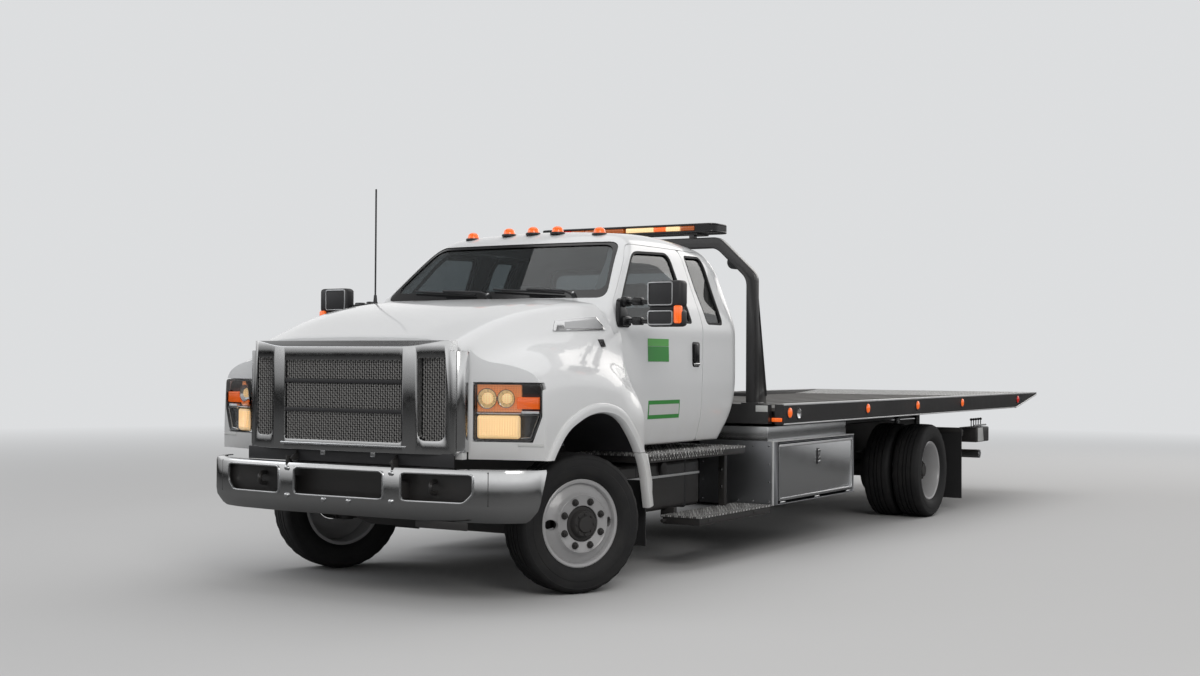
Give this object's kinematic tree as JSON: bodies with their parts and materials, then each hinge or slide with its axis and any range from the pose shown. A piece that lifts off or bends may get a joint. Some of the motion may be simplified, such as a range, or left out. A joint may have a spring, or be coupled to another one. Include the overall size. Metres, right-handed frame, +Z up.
{
  "type": "rollback tow truck",
  "caption": "Tow truck with an extended cab, a tilting hood, a sliding and tilting flat deck and a rear wheel lift.",
  "frame": {"origin": "on the ground, under the middle of the overall box", "axes": "+X to the vehicle's left, -Y forward, +Z up"},
  "size_m": [2.9, 9.866, 2.56],
  "materials": {
    "white_paint": "gloss white paint",
    "black_deck": "gloss black paint",
    "black_chassis": "satin black paint",
    "chrome": "polished chrome",
    "polished_aluminium": "polished aluminium",
    "step_aluminium": "pressed aluminium tread",
    "wheel_metal": "silver painted steel",
    "bright_steel": "bright steel",
    "cast_metal": "cast metal",
    "dark_glass": "tinted glass",
    "lamp_glass": "clear lamp lens",
    "amber_lens": "amber lens",
    "red_lens": "red lens",
    "black_trim": "moulded black plastic",
    "grey_trim": "moulded grey plastic",
    "seat_fabric": "woven seat cloth",
    "rubber": "black rubber",
    "tyre": "tyre rubber"
  },
  "bodies": {
    "chassis": {"antenna": "black_trim", "cab_glass": "dark_glass", "cab_shell": "white_paint", "dashboard": "grey_trim", "engine_and_gearbox": "cast_metal", "exhaust": "bright_steel", "frame_rails": "black_chassis", "cross_members": "black_chassis", "frame_brackets": "black_chassis", "front_axle": "black_chassis", "front_bumper": "chrome", "fuel_tanks": "black_trim", "leaf_springs": "black_chassis", "lever_stations": "bright_steel", "mud_flaps": "rubber", "rear_axle": "black_chassis", "roof_lamps": "amber_lens", "seats": "seat_fabric", "side_steps": "step_aluminium", "tail_lamps": "red_lens", "toolboxes": "polished_aluminium"},
    "hood": {"hood": "white_paint", "grille": "chrome", "headlamps": "lamp_glass"},
    "tilt_frame": {"tilt_frame": "black_deck", "tilt_cross_members": "black_deck"},
    "deck": {"deck": "black_deck", "deck_rails": "black_deck", "deck_frame": "black_deck", "deck_arch": "black_deck", "deck_arch_top": "black_deck", "light_bar": "amber_lens", "winch": "bright_steel"},
    "tilt_barrels": {"tilt_barrels": "black_deck"},
    "tilt_rods": {"tilt_rods": "chrome"},
    "lift_boom": {"lift_boom": "black_deck"},
    "lift_extension": {"lift_extension": "bright_steel"},
    "lift_crossbar": {"lift_crossbar": "black_deck"},
    "front_door_left": {"front_door_left": "white_paint", "front_door_glass_left": "dark_glass", "mirror_left": "black_trim"},
    "rear_door_left": {"rear_door_left": "white_paint", "rear_door_glass_left": "dark_glass"},
    "knuckle_left": {"knuckle_left": "black_chassis"},
    "front_wheel_left": {"front_wheel_left": "wheel_metal", "front_tyre_left": "tyre"},
    "rear_wheels_left": {"rear_wheels_left": "wheel_metal", "rear_tyres_left": "tyre"},
    "toolbox_door_left": {"toolbox_door_left": "polished_aluminium"},
    "front_door_right": {"front_door_right": "white_paint", "front_door_glass_right": "dark_glass", "mirror_right": "black_trim"},
    "rear_door_right": {"rear_door_right": "white_paint", "rear_door_glass_right": "dark_glass"},
    "knuckle_right": {"knuckle_right": "black_chassis"},
    "front_wheel_right": {"front_wheel_right": "wheel_metal", "front_tyre_right": "tyre"},
    "rear_wheels_right": {"rear_wheels_right": "wheel_metal", "rear_tyres_right": "tyre"},
    "toolbox_door_right": {"toolbox_door_right": "polished_aluminium"}
  },
  "joints": [
    {"name": "front_door_left_hinge", "type": "hinge", "parent": "chassis", "child": "front_door_left", "pos_m": [1.022, -3.451, 1.2], "axis": [0, 0, -1], "range_deg": [0, 65]},
    {"name": "rear_door_left_hinge", "type": "hinge", "parent": "chassis", "child": "rear_door_left", "pos_m": [1.022, -1.846, 1.2], "axis": [0, 0, 1], "range_deg": [0, 80]},
    {"name": "steer_left", "type": "hinge", "parent": "chassis", "child": "knuckle_left", "pos_m": [0.842, -3.847, 0.419], "axis": [0, 0, 1], "range_deg": [-14, 66]},
    {"name": "front_wheel_left_spin", "type": "hinge", "parent": "knuckle_left", "child": "front_wheel_left", "pos_m": [0.96344, -3.90597, 0.419], "axis": [0.8996, -0.4368, 0], "continuous": true},
    {"name": "rear_wheels_left_spin", "type": "hinge", "parent": "chassis", "child": "rear_wheels_left", "pos_m": [0.9635, 1.831, 0.419], "axis": [1, 0, 0], "continuous": true},
    {"name": "toolbox_door_left_hinge", "type": "hinge", "parent": "chassis", "child": "toolbox_door_left", "pos_m": [1.198, -0.736, 0.378], "axis": [0, 1, 0], "range_deg": [0, 90]},
    {"name": "front_door_right_hinge", "type": "hinge", "parent": "chassis", "child": "front_door_right", "pos_m": [-1.022, -3.451, 1.2], "axis": [0, 0, 1], "range_deg": [0, 65]},
    {"name": "rear_door_right_hinge", "type": "hinge", "parent": "chassis", "child": "rear_door_right", "pos_m": [-1.022, -1.846, 1.2], "axis": [0, 0, -1], "range_deg": [0, 80]},
    {"name": "steer_right", "type": "hinge", "parent": "chassis", "child": "knuckle_right", "pos_m": [-0.842, -3.847, 0.419], "axis": [0, 0, 1], "range_deg": [-14, 66]},
    {"name": "front_wheel_right_spin", "type": "hinge", "parent": "knuckle_right", "child": "front_wheel_right", "pos_m": [-0.96344, -3.78803, 0.419], "axis": [0.8996, -0.4368, 0], "continuous": true},
    {"name": "rear_wheels_right_spin", "type": "hinge", "parent": "chassis", "child": "rear_wheels_right", "pos_m": [-0.9635, 1.831, 0.419], "axis": [1, 0, 0], "continuous": true},
    {"name": "toolbox_door_right_hinge", "type": "hinge", "parent": "chassis", "child": "toolbox_door_right", "pos_m": [-1.198, -0.736, 0.378], "axis": [0, -1, 0], "range_deg": [0, 90]},
    {"name": "hood_hinge", "type": "hinge", "parent": "chassis", "child": "hood", "pos_m": [0, -4.897, 0.803], "axis": [1, 0, 0], "range_deg": [0, 62]},
    {"name": "tilt_hinge", "type": "hinge", "parent": "chassis", "child": "tilt_frame", "pos_m": [0, 3.503, 0.872], "axis": [-1, 0, 0], "range_deg": [0, 13.6]},
    {"name": "deck_slide", "type": "slide", "parent": "tilt_frame", "child": "deck", "axis": [0, 1, 0], "range_m": [0, 2.9]},
    {"name": "tilt_barrel_hinge", "type": "hinge", "parent": "chassis", "child": "tilt_barrels", "pos_m": [0, 2.753, 0.43], "axis": [1, 0, 0], "range_deg": [-2.15, 0]},
    {"name": "tilt_rod_slide", "type": "slide", "parent": "tilt_barrels", "child": "tilt_rods", "axis": [0, 0, 1], "range_m": [0, 0.1771]},
    {"name": "lift_boom_hinge", "type": "hinge", "parent": "chassis", "child": "lift_boom", "pos_m": [0, 2.453, 0.475], "axis": [-1, 0, 0], "range_deg": [0, 8]},
    {"name": "lift_extension_slide", "type": "slide", "parent": "lift_boom", "child": "lift_extension", "axis": [0, 1, 0], "range_m": [0, 0.9]},
    {"name": "crossbar_swivel", "type": "hinge", "parent": "lift_extension", "child": "lift_crossbar", "pos_m": [0, 3.743, 0.475], "axis": [0, 0, 1], "range_deg": [-20, 20]}
  ],
  "couplings": [
    {"joint": "steer_right", "follows": "steer_left", "ratio": 1},
    {"joint": "tilt_barrel_hinge", "follows": "tilt_hinge", "ratio": -0.15408},
    {"joint": "tilt_rod_slide", "follows": "tilt_hinge", "m_per_rad": 0.7438}
  ]
}
